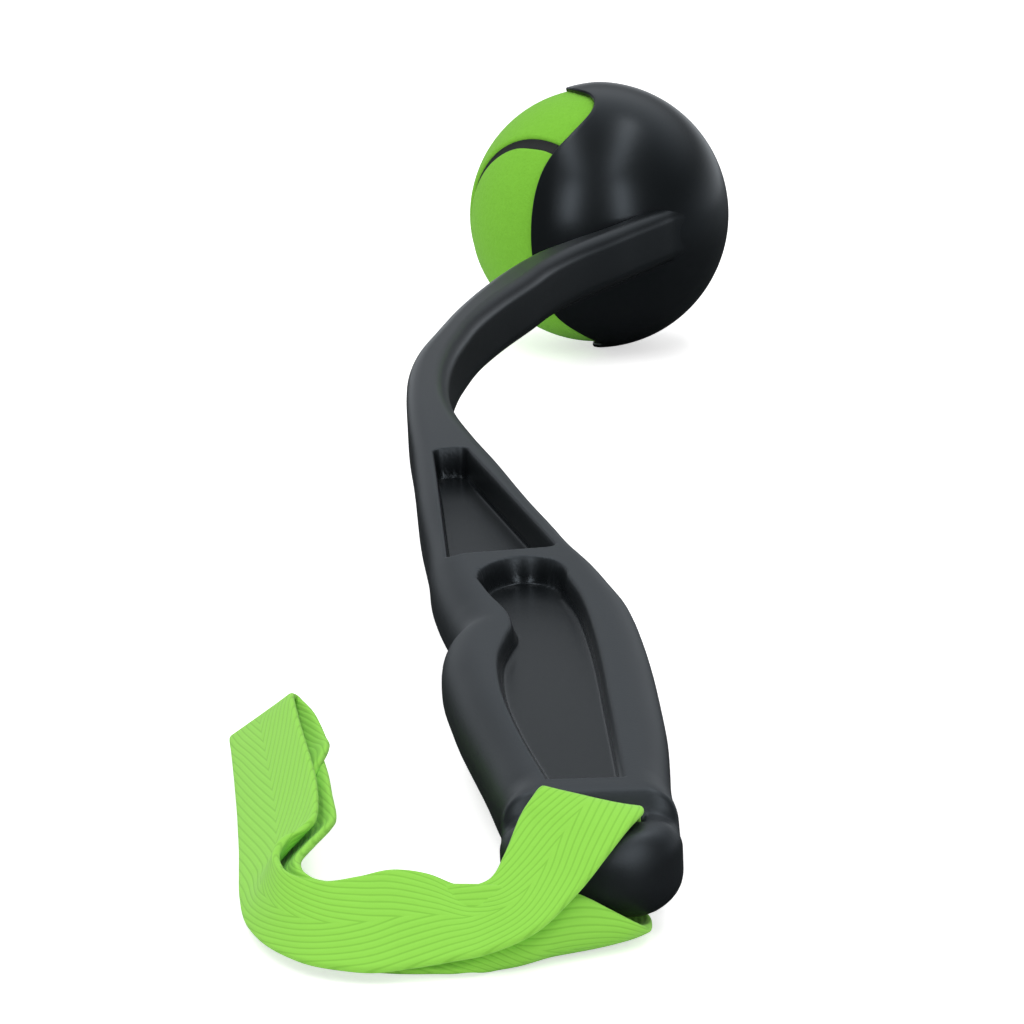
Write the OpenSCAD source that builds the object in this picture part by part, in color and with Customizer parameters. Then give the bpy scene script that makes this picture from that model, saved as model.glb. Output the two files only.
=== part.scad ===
// Hand launcher for a dog's tennis ball: one black moulding with grip, arm and cup,
// a felt ball held in the cup, and a webbing wrist strap through the butt.
// Origin: centre of the ball seat. +Y runs from the butt to the cup, -X is the throw side, +Z is up.

/* [Ball] */
// Outside diameter of the felt ball
ball_d = 65.5; // [60:0.5:70]
// Thickness of the felt cover
felt_t = 3; // [2:0.1:4]
// Wall of the hollow rubber core
core_wall = 3.6; // [2.5:0.1:5]
// Width of the rubber seam between the felt panels
seam_w = 3; // [2:0.1:4]
// How far the seam lies below the felt
seam_drop = 0.7; // [0.3:0.1:1.2]
// Turn of the seam about the upright axis
seam_turn = 231; // [0:1:360]

/* [Cup] */
// Running clearance between ball and cup
cup_gap = 0.3; // [0.3:0.05:0.6]
// Wall of the cup
cup_wall = 1.35; // [1:0.05:3.5]
// Wall left at the tips of the jaws
jaw_tip_wall = 0.8; // [0.6:0.1:1]
// Angle from the throw side to the cup's opening, towards the tip
opening_angle = 20; // [10:1:30]
// Height of the tip-side jaw above the ball's equator
far_jaw = 13; // [9:0.5:15]
// Height of the arm-side jaw above the ball's equator
near_jaw = 5.7; // [4:0.1:8]
// Depth of the rounded notches below the equator
notch_depth = 5; // [3:0.5:7]

/* [Handle] */
// Strap slot to ball centre, along the launcher
reach = 427; // [390:1:470]
// Thickness of the grip
handle_t = 16; // [14:0.5:18]
// Width of the butt
butt_w = 26; // [23:0.5:30]
// Length of the butt behind the slot
butt_l = 11.5; // [10:0.5:14]
// Thickness of the butt's end bar
butt_t = 12.4; // [11:0.1:13.5]
// Corner radius of the butt, seen from above
butt_corner = 10; // [7:0.5:11]
// Edge rounding of the butt's end bar
butt_round = 4.4; // [3:0.2:5]
// Edge rounding of the grip on the back
grip_round = 6; // [4:0.5:6.5]
// Edge rounding of the grip on the throw side
finger_round = 7.4; // [6:0.2:7.6]
// Reach of the grip on the throw side, where it is widest
grip_left = 24.6; // [23:0.1:27]
// Reach of the grip on the back, where it is widest
grip_right = 11.6; // [11:0.1:14]

/* [Arm] */
// Thickness of the arm
arm_t = 14; // [12:0.5:16]
// Width of the arm
arm_w = 9; // [7.5:0.5:11]
// Edge rounding of the arm
arm_round = 3.4; // [2:0.2:3.6]
// How far the arm bows to the throw side
arm_bow = 39.3; // [36:0.1:42]

/* [Recesses] */
// Depth of the triangular recess, on both faces
recess_depth = 6.2; // [4:0.1:6.4]
// Depth of the grip recess at the butt, on both faces
grip_depth_near = 2; // [1.5:0.1:3]
// Depth of the grip recess at its far end, on both faces
grip_depth_far = 4.8; // [3.5:0.1:6]
// Corner radius of the triangular recess
recess_round = 1.8; // [1:0.1:3]
// Rib between the triangular recess and the grip recess
rib_w = 3; // [2:0.5:5]

/* [Strap] */
// Width of the webbing
strap_w = 15; // [12:0.5:17]
// Thickness of the webbing
strap_t = 1.2; // [0.8:0.1:1.6]
// Spare length of the slot beyond the webbing
slot_spare = 1.4; // [1:0.1:3]
// Offset of the slot to the throw side
slot_shift = 0.6; // [0:0.1:1]
// Width of the slot
slot_w = 4.2; // [3.4:0.1:5]
// Height of the stitching over the webbing
stitch_t = 0.4; // [0.3:0.1:0.6]

/* [Rest] */
// Sideways lean of the launcher where it lies, back edge up
lean = 2.5; // [0:0.5:4]
// Room under the butt for the webbing
butt_lift = 1.8; // [1.6:0.1:3]

/* [Hidden] */
$fn = 96;

ball_r = ball_d / 2;
core_r = ball_r - felt_t;
seat_r = ball_r + cup_gap;
cup_r = seat_r + cup_wall;
jaw_r = seat_r + jaw_tip_wall;
// The seam's two edges as slopes that are each other's inverse, so the half circles meet exactly
seam_in = ball_r - seam_w / 2;
seam_out = ball_r + seam_w / 2;

// The launcher lies on the cup and on the webbing under its butt
slot_height = handle_t / 2 + butt_lift;
tilt = asin((cup_r - slot_height) / reach);
floor_z = -cup_r;

// Rim of the cup in its own side view: across the opening, then along the opening
rim = [[cup_r + 4, near_jaw + 0.5], [cup_r, near_jaw], [29, near_jaw * 0.6], [22, -notch_depth * 0.45],
       [16, -notch_depth], [11, -notch_depth * 0.95], [7.6, -notch_depth * 0.45], [5, far_jaw * 0.14],
       [0.5, far_jaw * 0.49], [-9, far_jaw * 0.8], [-20, far_jaw], [-cup_r - 4, far_jaw]];

// Outline of the handle, as stations from the slot, then the arm, as stations back from the ball
outline_left = [[-butt_l, -butt_w / 2], [0, -butt_w / 2], [10, -butt_w / 2], [17, -butt_w / 2 - 1.4],
    [27, -butt_w / 2 - 3.4], [48, -grip_left + 3.6], [58, -grip_left + 1.8], [67, -grip_left + 0.4],
    [75, -grip_left], [80, -grip_left + 0.4], [85, -grip_left + 1.7], [93, -grip_left + 0.4],
    [101, -grip_left - 1.3],
    [108, -grip_left - 2.6], [117, -grip_left - 3.8], [132, -grip_left - 5], [158, -grip_left - 7.8],
    [reach - 232, -arm_bow + 3.8], [reach - 209, -arm_bow + 1.6], [reach - 189, -arm_bow + 0.3],
    [reach - 174, -arm_bow], [reach - 159, -arm_bow + 1], [reach - 143, -arm_bow + 3.7],
    [reach - 120, -arm_bow + 8.1], [reach - 94, -arm_bow + 15.1], [reach - 72, -16], [reach - 60, -8.6],
    [reach - 49, -0.7], [reach - 36, 7.5], [reach - 20, 16]];
outline_right = [[-butt_l, butt_w / 2], [0, butt_w / 2 - 0.1], [9, butt_w / 2 - 0.9], [17, grip_right + 0.1],
    [25, grip_right + 0.1], [36, grip_right], [50, grip_right - 0.7], [65, grip_right - 1.7],
    [81, grip_right - 3.2], [95, grip_right - 5.1], [104, grip_right - 7.3], [115, grip_right - 10.4],
    [127, grip_right - 14.6], [137, grip_right - 17.5], [155, grip_right - 22.8], [180, grip_right - 29.4],
    [reach - 229, -arm_bow + arm_w + 7.5], [reach - 209, -arm_bow + arm_w + 2.7],
    [reach - 192, -arm_bow + arm_w + 0.4], [reach - 176, -arm_bow + arm_w],
    [reach - 161, -arm_bow + arm_w + 0.8], [reach - 150, -arm_bow + arm_w + 2.1],
    [reach - 132, -arm_bow + arm_w + 5.1], [reach - 113, -arm_bow + arm_w + 10.3],
    [reach - 94, -arm_bow + arm_w + 16.8], [reach - 81, -9.3], [reach - 67, -2.9], [reach - 52, 6],
    [reach - 44, 10.6], [reach - 37, 14.9], [reach - 33, 17.35], [reach - 30.7, 18.6], [reach - 29, 19.5],
    [reach - 27.5, 20.4], [reach - 26, 21.3], [reach - 24, 22.4], [reach - 20, 24.6]];
half_thickness = [[-butt_l, butt_t / 2], [-4, butt_t / 2], [-1.6, butt_t / 2 - 0.5], [-0.4, butt_t / 2 - 1.1],
    [2.4, butt_t / 2 - 1.2], [3.2, butt_t / 2 - 0.6], [4.4, handle_t / 2 - 0.5], [5.6, handle_t / 2 - 0.1],
    [9, handle_t / 2], [60, handle_t / 2], [150, handle_t / 2],
    [reach - 235, (handle_t + arm_t) / 4 + 0.2], [reach - 175, arm_t / 2 + 0.1], [reach - 110, arm_t / 2],
    [reach - 20, arm_t / 2]];
arm_edge = [[150, grip_round - 1.2], [reach - 235, arm_round + 0.5], [reach - 190, arm_round],
    [reach - 20, arm_round]];
back_edge = concat([[-butt_l, butt_round], [3, butt_round], [14, grip_round], [85, grip_round],
    [108, grip_round]], arm_edge);
throw_edge = concat([[-butt_l, butt_round], [3, butt_round], [14, finger_round], [85, finger_round],
    [95, finger_round + 0.3], [108, finger_round], [122, grip_round + 0.4]], arm_edge);

// Recess outlines at the face: left edge, right edge and the triangular panel, as [station, across]
grip_recess_left = [[10, -6.2], [25, -9.6], [37, -12], [48, -13.8], [58, -14.7], [66, -14.8], [74, -13.8],
    [79.5, -13], [86, -13.9], [95, -16.9], [104, -19.4]];
grip_recess_right = [[10, 4.8], [28, 3.7], [45, 2.6], [62, 1.5], [79, 0], [93, -1.8], [104, -4.2]];
grip_recess_end = 114.8;
triangle = [[grip_recess_end + rib_w, -25.2], [grip_recess_end + rib_w + 2.5, -6], [186, -24.6],
    [185, -30.8]];

// Wrist strap: [across, along, height, bearing of the width, rise of the width], across and along from
// the slot. It starts under the lap, runs forward to the slot, over the end bar and round the loop, and
// comes back to end on top of the lap.
lay = strap_t / 2 + 0.05;
crest = slot_height + handle_t / 2 + 0.9;
strap_route = [[-47.2, 47, 5.9, 7, 43], [-45.5, 36, 5.7, 7, 41], [-44.4, 26, 5.6, 6, 39],
    [-43.9, 14, 5.3, 5, 37], [-43.5, 4, 4.7, 10, 31], [-42.4, -4.2, 3.5, 22, 22], [-38.4, -11, 2, 46, 9],
    [-31.5, -14.8, 0.95, 70, 2], [-24, -16.2, lay, 88, 0], [-15.5, -16, lay, 97, 0], [-8, -13.6, lay, 116, 0],
    [-2.4 - slot_shift, -9, lay, 144, 0], [0.8 - slot_shift, -4.8, lay + 0.3, 170, 0],
    [0.4 - slot_shift, -1.1, slot_height - butt_t / 2 - 0.6, 178, -lean],
    [-slot_shift, -0.8, slot_height, 180, -lean],
    [-slot_shift, -0.9, slot_height + butt_t / 2, 180, -lean], [0, -2.8, crest, 172, 6],
    [-1.8, -7.2, crest - 0.2, 160, 9], [-5.4, -12.8, crest - 3.6, 148, 15], [-9.8, -17.2, 11, 132, 24],
    [-15, -20, 8.8, 114, 34], [-21.5, -21.2, 7.8, 102, 41], [-28, -20.8, 7.4, 88, 44],
    [-34, -19.3, 7.5, 70, 46],
    [-39.8, -16.2, 8.2, 50, 54], [-43.6, -11, 8.8, 30, 64], [-45.2, -4.6, 8.7, 15, 60], [-45.5, 3, 8, 8, 49],
    [-45.9, 12, 7.5, 6, 42], [-47, 24, 7.3, 6, 40], [-48.8, 36, 7.4, 7, 42], [-50.5, 47, 7.6, 7, 44],
    [-51.9, 56, 7.6, 8, 45], [-53.1, 64, 7.5, 8, 43], [-54.2, 71, 7.2, 8, 40], [-54.4, 74, 7, 8, 39],
    [-53.4, 75.6, 6.2, 8, 39], [-52.2, 73.8, 5.5, 8, 39], [-51.2, 69, 5.7, 8, 41], [-50.3, 64, 6, 8, 43],
    [-49.2, 56, 6.5, 8, 44], [-48.1, 47, 6.9, 7, 43], [-46.4, 36, 6.7, 7, 41], [-45.25, 26, 6.6, 6, 39]];
route_steps = 2;
// Bar tacks under the lap, as places along the route
bar_tacks = [0.6, 1.4];
bar_tack_w = 1.8;
bar_tack_margin = 2;

// Smooth curve through [position, value] pairs, with slopes from the neighbours
function span(p, s, i = 0) = i >= len(p) - 2 || s < p[i + 1][0] ? i : span(p, s, i + 1);
function slope(p, i) =
    let (a = max(i - 1, 0), b = min(i + 1, len(p) - 1)) (p[b][1] - p[a][1]) / (p[b][0] - p[a][0]);
function hermite(y0, y1, m0, m1, t) =
    (2 * t ^ 3 - 3 * t ^ 2 + 1) * y0 + (t ^ 3 - 2 * t ^ 2 + t) * m0
    + (3 * t ^ 2 - 2 * t ^ 3) * y1 + (t ^ 3 - t ^ 2) * m1;
function curve(p, s) =
    let (i = span(p, s), h = p[i + 1][0] - p[i][0])
    hermite(p[i][1], p[i + 1][1], h * slope(p, i), h * slope(p, i + 1), (s - p[i][0]) / h);

// Points and faces of a loft through closed rings of equal count
function ring_faces(rings, n) =
    [for (i = [0:rings - 2]) for (j = [0:n - 1])
        let (a = i * n + j, b = i * n + (j + 1) % n)
        each [[a, b, b + n], [a, b + n, a + n]]];
function cap_faces(rings, n) =
    let (last = (rings - 1) * n)
    [for (j = [1:n - 2]) each [[0, j + 1, j], [last, last + j, last + j + 1]]];
module loft(rings) {
    n = len(rings[0]);
    polyhedron([for (r = rings) each r], concat(ring_faces(len(rings), n), cap_faces(len(rings), n)));
}

// Where a point of the launcher's own frame lies once it rests on the floor
function rolled(p) = [p[0] * cos(lean) - p[2] * sin(lean), p[1], p[0] * sin(lean) + p[2] * cos(lean)];
function tilted(p) = [p[0], p[1] * cos(tilt) - p[2] * sin(tilt), p[1] * sin(tilt) + p[2] * cos(tilt)];
function at_rest(p) = rolled(tilted(p));
module at_rest() {
    rotate([tilt, -lean, 0]) children();
}

// From the cup's own frame, opening along +Z and the arm side on +X, to the launcher's
module cup_frame() {
    rotate([90, 0, -(90 + opening_angle)]) children();
}

// Section of the handle or arm at a station: a rectangle with round corners. Behind the slot its sides and
// faces draw in along quarter circles.
corner_steps = 4;
function draw_in(r, d) = d >= r ? 0 : r - sqrt(r ^ 2 - (r - d) ^ 2);
function section(s) =
    let (d = s + butt_l, side = draw_in(butt_corner, d), face = draw_in(butt_round, d),
         x0 = curve(outline_left, s) + side, x1 = curve(outline_right, s) - side,
         h = curve(half_thickness, s) - face, most = min(h - 0.2, (x1 - x0) / 2 - 0.2))
    [for (q = [0:3]) for (k = [0:corner_steps])
        let (a = 90 * (q + k / corner_steps), back = q == 0 || q == 3,
             r = min(curve(back ? back_edge : throw_edge, s), most))
        [(back ? x1 - r : x0 + r) + r * cos(a), s - reach, (q < 2 ? h - r : r - h) + r * sin(a)]];
end_steps = 6;
stations = concat([for (k = [0:end_steps - 1]) -butt_l + butt_corner * (1 - cos(90 * k / end_steps))],
    [for (s = [-butt_l + butt_corner:1:6.5]) s], [for (s = [8:2:12]) s], [for (s = [14:4:70]) s],
    [for (s = [74:2.5:112]) s], [for (s = [116:7:reach - 42]) s], [for (s = [reach - 38:3:reach - 20]) s]);
module handle_and_arm() {
    loft([for (s = stations) section(s)]);
}

// Outline of the grip recess, round at its far end
function grip_recess() =
    let (l = grip_recess_left[len(grip_recess_left) - 1], r = grip_recess_right[len(grip_recess_right) - 1],
         mid = (l[1] + r[1]) / 2, half = (r[1] - l[1]) / 2, rise = grip_recess_end - l[0])
    concat([for (s = [l[0]:-3:12]) [curve(grip_recess_left, s), s - reach]],
        [[-6.2, 10 - reach], [4.8, 10 - reach]],
        [for (s = [14:4:r[0] - 2]) [curve(grip_recess_right, s), s - reach]],
        [for (a = [0:15:165]) [mid + half * cos(a), l[0] - reach + rise * sin(a)]]);
// The grip recess's floor falls away from the butt
grip_fall = atan((grip_depth_far - grip_depth_near) / (grip_recess_end - 10));
module recess_cuts() {
    for (side = [1, -1])
        mirror([0, 0, side < 0 ? 1 : 0]) {
            translate([0, 10 - reach, handle_t / 2 - grip_depth_near]) rotate([-grip_fall, 0, 0])
                linear_extrude(grip_depth_far + 1) translate([0, reach - 10]) polygon(grip_recess());
            translate([0, 0, handle_t / 2 - recess_depth])
                linear_extrude(recess_depth + 1) triangle_outline();
        }
}
// A triangle corner as an arc that touches both edges
function unit(v) = v / norm(v);
function corner_arc(a, b, c, r) =
    let (u = unit(a - b), v = unit(c - b), half = acos(u * v) / 2, o = b + unit(u + v) * r / sin(half),
         p = b + u * r / tan(half) - o, q = b + v * r / tan(half) - o, turn = 180 - 2 * half)
    [for (t = [0:3]) let (f = t / 3) o + (p * sin(turn * (1 - f)) + q * sin(turn * f)) / sin(turn)];
module triangle_outline() {
    p = [for (c = triangle) [c[1], c[0] - reach]];
    n = len(p);
    polygon([for (i = [0:n - 1]) each corner_arc(p[(i + n - 1) % n], p[i], p[(i + 1) % n], recess_round)]);
}

module cup_outside() {
    cup_frame() difference() {
        union() {
            sphere(cup_r);
            cylinder(h = far_jaw + 2, r1 = cup_r, r2 = jaw_r);
        }
        rotate([90, 0, 0]) linear_extrude(3 * cup_r, center = true)
            polygon(concat([for (t = [0:2:100]) rim_point(t)],
                [[-cup_r - 4, 2 * cup_r], [cup_r + 4, 2 * cup_r]]));
    }
}
// Point on the rim line, from the arm side to the tip side, in hundredths of its width
rim_by_x = [for (i = [len(rim) - 1:-1:0]) rim[i]];
function rim_point(t) =
    let (x = (cup_r + 4) * (1 - t / 50)) [x, curve(rim_by_x, x)];
module ball_way() {
    cup_frame() {
        sphere(seat_r);
        cylinder(h = 3 * cup_r, r = seat_r);
    }
}
module strap_slot() {
    translate([-slot_shift, -reach, 0]) cube([strap_w + slot_spare, slot_w, handle_t * 2], center = true);
}

module launcher_body() {
    color("#33373a") at_rest() difference() {
        union() {
            handle_and_arm();
            cup_outside();
        }
        ball_way();
        recess_cuts();
        strap_slot();
    }
}

// Webbing as a flat ribbon along the route
slot_place = at_rest([0, -reach, 0]);
function route_at(i, k) = strap_route[max(0, min(len(strap_route) - 1, i))][k];
function route_value(u, k) =
    let (i = min(floor(u), len(strap_route) - 2), t = u - i)
    hermite(route_at(i, k), route_at(i + 1, k), (route_at(i + 1, k) - route_at(i - 1, k)) / 2,
        (route_at(i + 2, k) - route_at(i, k)) / 2, t);
function route_point(u) =
    [slot_place[0] + route_value(u, 0), slot_place[1] + route_value(u, 1), floor_z + route_value(u, 2)];
function route_width(u) =
    let (b = route_value(u, 3), e = route_value(u, 4)) [cos(b) * cos(e), sin(b) * cos(e), sin(e)];
function strap_section(u) =
    let (c = route_point(u), t = unit(route_point(u + 0.02) - route_point(u - 0.02)),
         n = unit(cross(t, route_width(u))), w = cross(n, t))
    [for (q = [[1, -1], [-1, -1], [-1, 1], [1, 1]]) c + w * q[0] * strap_w / 2 + n * q[1] * strap_t / 2];
module wrist_strap() {
    color("#8fe04f") loft([for (u = [0:1 / route_steps:len(strap_route) - 1]) strap_section(u)]);
}

module strap_stitching() {
    color("#6fbe38") for (u = bar_tacks) {
        c = route_point(u);
        t = unit(route_point(u + 0.02) - route_point(u - 0.02));
        n = unit(cross(t, route_width(u)));
        w = cross(n, t);
        o = c - n * (strap_t + stitch_t) / 2;
        multmatrix([[w[0], t[0], n[0], o[0]], [w[1], t[1], n[1], o[1]], [w[2], t[2], n[2], o[2]]])
            cube([strap_w - 2 * bar_tack_margin, bar_tack_w, stitch_t], center = true);
    }
}

// The ball's seam is four half circles, each 45 degrees round its own axis. Above the ball's middle they
// lie round the X axis and below it round the Y axis, so each is the edge of a cone from the centre.
module cones(run, rise) {
    for (s = [0, 180]) rotate([0, 90, s]) cylinder(h = 2 * run, r1 = 0, r2 = 2 * rise);
}
module half_space(up) {
    translate([-ball_d, -ball_d, up ? 0 : -ball_d]) cube([2 * ball_d, 2 * ball_d, ball_d]);
}
module cover_shell(outside) {
    difference() {
        sphere(outside);
        sphere(core_r);
    }
}
module seam_frame() {
    at_rest() rotate([0, 0, seam_turn]) children();
}
module panel() {
    difference() {
        cover_shell(ball_r);
        half_space(false);
        cones(seam_in, seam_out);
    }
    intersection() {
        cover_shell(ball_r);
        half_space(false);
        rotate([0, 0, 90]) cones(seam_out, seam_in);
    }
}
module felt_panel_near() {
    color("#86cf3f") seam_frame() rotate([0, 0, 180]) panel();
}
module felt_panel_far() {
    color("#7cc637") seam_frame() rotate([180, 0, 90]) panel();
}
module seam_half_ring() {
    difference() {
        intersection() {
            cover_shell(ball_r - seam_drop);
            half_space(true);
            cones(seam_in, seam_out);
        }
        cones(seam_out, seam_in);
    }
}
module ball_seam() {
    color("#1d1e1f") seam_frame() {
        seam_half_ring();
        rotate([180, 0, 90]) seam_half_ring();
    }
}
module core_half() {
    difference() {
        sphere(core_r);
        sphere(core_r - core_wall);
        half_space(false);
    }
}
module ball_core_front() {
    color("#4a4644") at_rest() cup_frame() core_half();
}
module ball_core_back() {
    color("#403c3a") at_rest() cup_frame() mirror([0, 0, 1]) core_half();
}

launcher_body();
wrist_strap();
strap_stitching();
ball_core_front();
ball_core_back();
felt_panel_near();
felt_panel_far();
ball_seam();
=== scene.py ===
"""Dress of a hand launcher for a dog's tennis ball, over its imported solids.

One black moulding with grip, arm and cup, a webbing wrist strap through the butt, and a felt ball in
the cup. Lengths inside the classes are millimetres in the launcher's own frame (origin at the centre of
the ball seat, +Y from the butt to the cup, -X the throw side), and meshes are metres in the row frame.
"""

import logging
import math
from dataclasses import dataclass
from enum import Enum

import bmesh
import bpy
import numpy as np
from mathutils import Matrix


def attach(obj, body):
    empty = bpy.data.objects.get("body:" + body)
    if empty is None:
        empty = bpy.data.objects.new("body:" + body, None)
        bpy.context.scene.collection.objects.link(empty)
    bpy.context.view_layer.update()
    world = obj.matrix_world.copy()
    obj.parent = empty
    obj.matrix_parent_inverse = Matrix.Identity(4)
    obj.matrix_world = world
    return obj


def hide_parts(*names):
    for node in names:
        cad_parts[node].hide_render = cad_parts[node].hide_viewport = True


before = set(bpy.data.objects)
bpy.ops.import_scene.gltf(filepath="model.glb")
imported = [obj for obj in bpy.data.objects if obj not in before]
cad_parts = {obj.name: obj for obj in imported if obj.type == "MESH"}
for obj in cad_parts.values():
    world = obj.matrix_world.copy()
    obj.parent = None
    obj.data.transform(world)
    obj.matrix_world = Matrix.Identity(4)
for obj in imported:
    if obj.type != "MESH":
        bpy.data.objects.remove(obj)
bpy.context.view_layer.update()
LOG = logging.getLogger("ball_launcher")
MM = 0.001
Array = np.ndarray
Knots = tuple[tuple[float, float], ...]


class Body(Enum):
    """The two bodies that pieces ride on."""

    LAUNCHER = "launcher"
    BALL = "ball"


class Slot(Enum):
    """The record's material slots."""

    PLASTIC = "body_plastic"
    WEBBING = "strap_webbing"
    THREAD = "strap_thread"
    FELT = "ball_felt"
    SEAM = "seam_rubber"


def smooth_curve(knots: Knots, at: Array) -> Array:
    """Cubic Hermite curve through knots, with each slope taken from the two neighbours.

    Args:
        knots: Pairs of position and value, in rising order of position.
        at: Positions, of any shape.
    Returns:
        The curve's values, in the same shape.
    """
    x, y = np.asarray(knots, float).T
    lo, hi = np.maximum(np.arange(len(x)) - 1, 0), np.minimum(np.arange(len(x)) + 1, len(x) - 1)
    slope = (y[hi] - y[lo]) / (x[hi] - x[lo])
    i = np.clip(np.searchsorted(x, at, side="right") - 1, 0, len(x) - 2)
    h = x[i + 1] - x[i]
    t = (at - x[i]) / h
    return ((2 * t**3 - 3 * t**2 + 1) * y[i] + (t**3 - 2 * t**2 + t) * h * slope[i]
            + (3 * t**2 - 2 * t**3) * y[i + 1] + (t**3 - t**2) * h * slope[i + 1])


def route_curve(points: Array, at: Array) -> Array:
    """Cubic Hermite curve through rows of values, one step of the parameter for each row.

    Args:
        points: Rows of values.
        at: Parameters, from 0 to the last row's number.
    Returns:
        One row of values for each parameter.
    """
    last = len(points) - 1
    i = np.clip(np.floor(at).astype(int), 0, last - 1)
    t = (at - i)[:, None]
    before, after = points[np.maximum(i - 1, 0)], points[np.minimum(i + 2, last)]
    a, b = points[i], points[i + 1]
    return ((2 * t**3 - 3 * t**2 + 1) * a + (t**3 - 2 * t**2 + t) * (b - before) / 2
            + (3 * t**2 - 2 * t**3) * b + (t**3 - t**2) * (after - a) / 2)


def grid_quads(rows: int, columns: int, wrap_rows: bool = False, wrap_columns: bool = False) -> Array:
    """Quads of a grid of points that is stored row by row.

    Args:
        rows: Number of rows.
        columns: Number of points in a row.
        wrap_rows: Whether the last row joins the first.
        wrap_columns: Whether each row is a closed ring.
    Returns:
        Point numbers, four to a quad, which face along row direction times column direction.
    """
    r = np.arange(rows if wrap_rows else rows - 1)[:, None]
    c = np.arange(columns if wrap_columns else columns - 1)[None, :]
    r2, c2 = (r + 1) % rows, (c + 1) % columns
    return np.stack([r * columns + c, r2 * columns + c, r2 * columns + c2, r * columns + c2], -1).reshape(-1, 4)


def fan(ring: Array, centre: int) -> Array:
    """Triangles from a ring of point numbers to one centre point."""
    return np.stack([ring, np.roll(ring, -1), np.full(len(ring), centre)], -1)


def unit(vectors: Array) -> Array:
    """Vectors scaled to length one, along the last axis."""
    return vectors / np.linalg.norm(vectors, axis=-1, keepdims=True)


def round_over(radius: Array | float, out: Array) -> Array:
    """How far a rounded edge falls: a quarter circle over the distance past the place where it starts."""
    return radius - np.sqrt(np.maximum(radius**2 - np.clip(out, 0, radius) ** 2, 0))


def skin(rings: Array, ends: Array, reverse: bool = False) -> tuple[Array, Array, Array]:
    """A closed skin over rings of points, with a fan to one point at each end.

    Args:
        rings: Points, ring by ring.
        ends: The two end points.
        reverse: Whether the faces run the other way round.
    Returns:
        Points, quads and triangles.
    """
    rows, ring = rings.shape[:2]
    quads = grid_quads(rows, ring, wrap_columns=True)
    first, final = np.arange(ring), (np.arange(ring) + (rows - 1) * ring)[::-1]
    if reverse:
        quads, first, final = quads[:, ::-1], first[::-1], final[::-1]
    points = np.concatenate([rings.reshape(-1, 3), ends])
    return points, quads, np.concatenate([fan(first, rows * ring), fan(final, rows * ring + 1)])


def outline_depth(x: Array, y: Array, outline: Array) -> Array:
    """Distance of points from a closed outline in the plane, positive inside it.

    The distance is the least one to any edge; a point is inside where a level line from it crosses an odd
    number of edges.

    Args:
        x: First coordinates, of any shape.
        y: Second coordinates, in the same shape.
        outline: Corners of the outline, one to a row.
    Returns:
        Signed distances, in the same shape.
    """
    p = np.stack([x.ravel(), y.ravel()], -1)[:, None, :]
    a, b = outline[None], np.roll(outline, -1, 0)[None]
    along = np.clip(((p - a) * (b - a)).sum(-1) / ((b - a) ** 2).sum(-1), 0, 1)
    away = np.linalg.norm(a + along[..., None] * (b - a) - p, axis=-1).min(1)
    spans = (a[..., 1] > p[..., 1]) != (b[..., 1] > p[..., 1])
    rise = np.where(b[..., 1] == a[..., 1], 1.0, b[..., 1] - a[..., 1])
    crossing = a[..., 0] + (p[..., 1] - a[..., 1]) / rise * (b[..., 0] - a[..., 0])
    inside = (spans & (p[..., 0] < crossing)).sum(1) % 2 == 1
    return np.where(inside, away, -away).reshape(x.shape)


def make_piece(name: str, points: Array, quads: Array, triangles: Array | None = None,
               attributes: dict[str, Array] | None = None) -> bpy.types.Object:
    """A smooth-shaded mesh object at the origin, with every closed shell's faces turned outward.

    Args:
        name: Name of the piece.
        points: Points in metres, in the row frame.
        quads: Point numbers, four to a face.
        triangles: Point numbers, three to a face, for poles and end caps.
        attributes: Values for each point, by attribute name, as vectors.
    Returns:
        The new object, linked to the scene.
    """
    triangles = np.zeros((0, 3), int) if triangles is None else triangles
    corners = np.concatenate([quads.ravel(), triangles.ravel()])
    starts = np.concatenate([np.arange(len(quads)) * 4, len(quads) * 4 + np.arange(len(triangles)) * 3])
    mesh = bpy.data.meshes.new(name)
    mesh.vertices.add(len(points))
    mesh.loops.add(len(corners))
    mesh.polygons.add(len(starts))
    mesh.vertices.foreach_set("co", np.asarray(points, np.float32).ravel())
    mesh.loops.foreach_set("vertex_index", corners.astype(np.int32))
    mesh.polygons.foreach_set("loop_start", starts.astype(np.int32))
    mesh.update(calc_edges=True)
    mesh.validate()
    shell = bmesh.new()
    shell.from_mesh(mesh)
    bmesh.ops.recalc_face_normals(shell, faces=shell.faces)
    shell.to_mesh(mesh)
    shell.free()
    mesh.shade_smooth()
    for key, values in (attributes or {}).items():
        layer = mesh.attributes.new(key, "FLOAT_VECTOR", "POINT")
        layer.data.foreach_set("vector", np.asarray(values, np.float32).ravel())
    obj = bpy.data.objects.new(name, mesh)
    bpy.context.scene.collection.objects.link(obj)
    return obj


def hand_over(obj: bpy.types.Object, body: Body, material: bpy.types.Material, node: str) -> None:
    """Gives a piece its material and body, and lets it stand for a CAD node.

    Args:
        obj: The piece.
        body: The body that it rides on.
        material: Its material.
        node: CAD node that it stands for.
    """
    obj.data.materials.append(material)
    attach(obj, body.value)
    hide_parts(node)
    LOG.info("%s: %d points, %d faces", obj.name, len(obj.data.vertices), len(obj.data.polygons))


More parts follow.
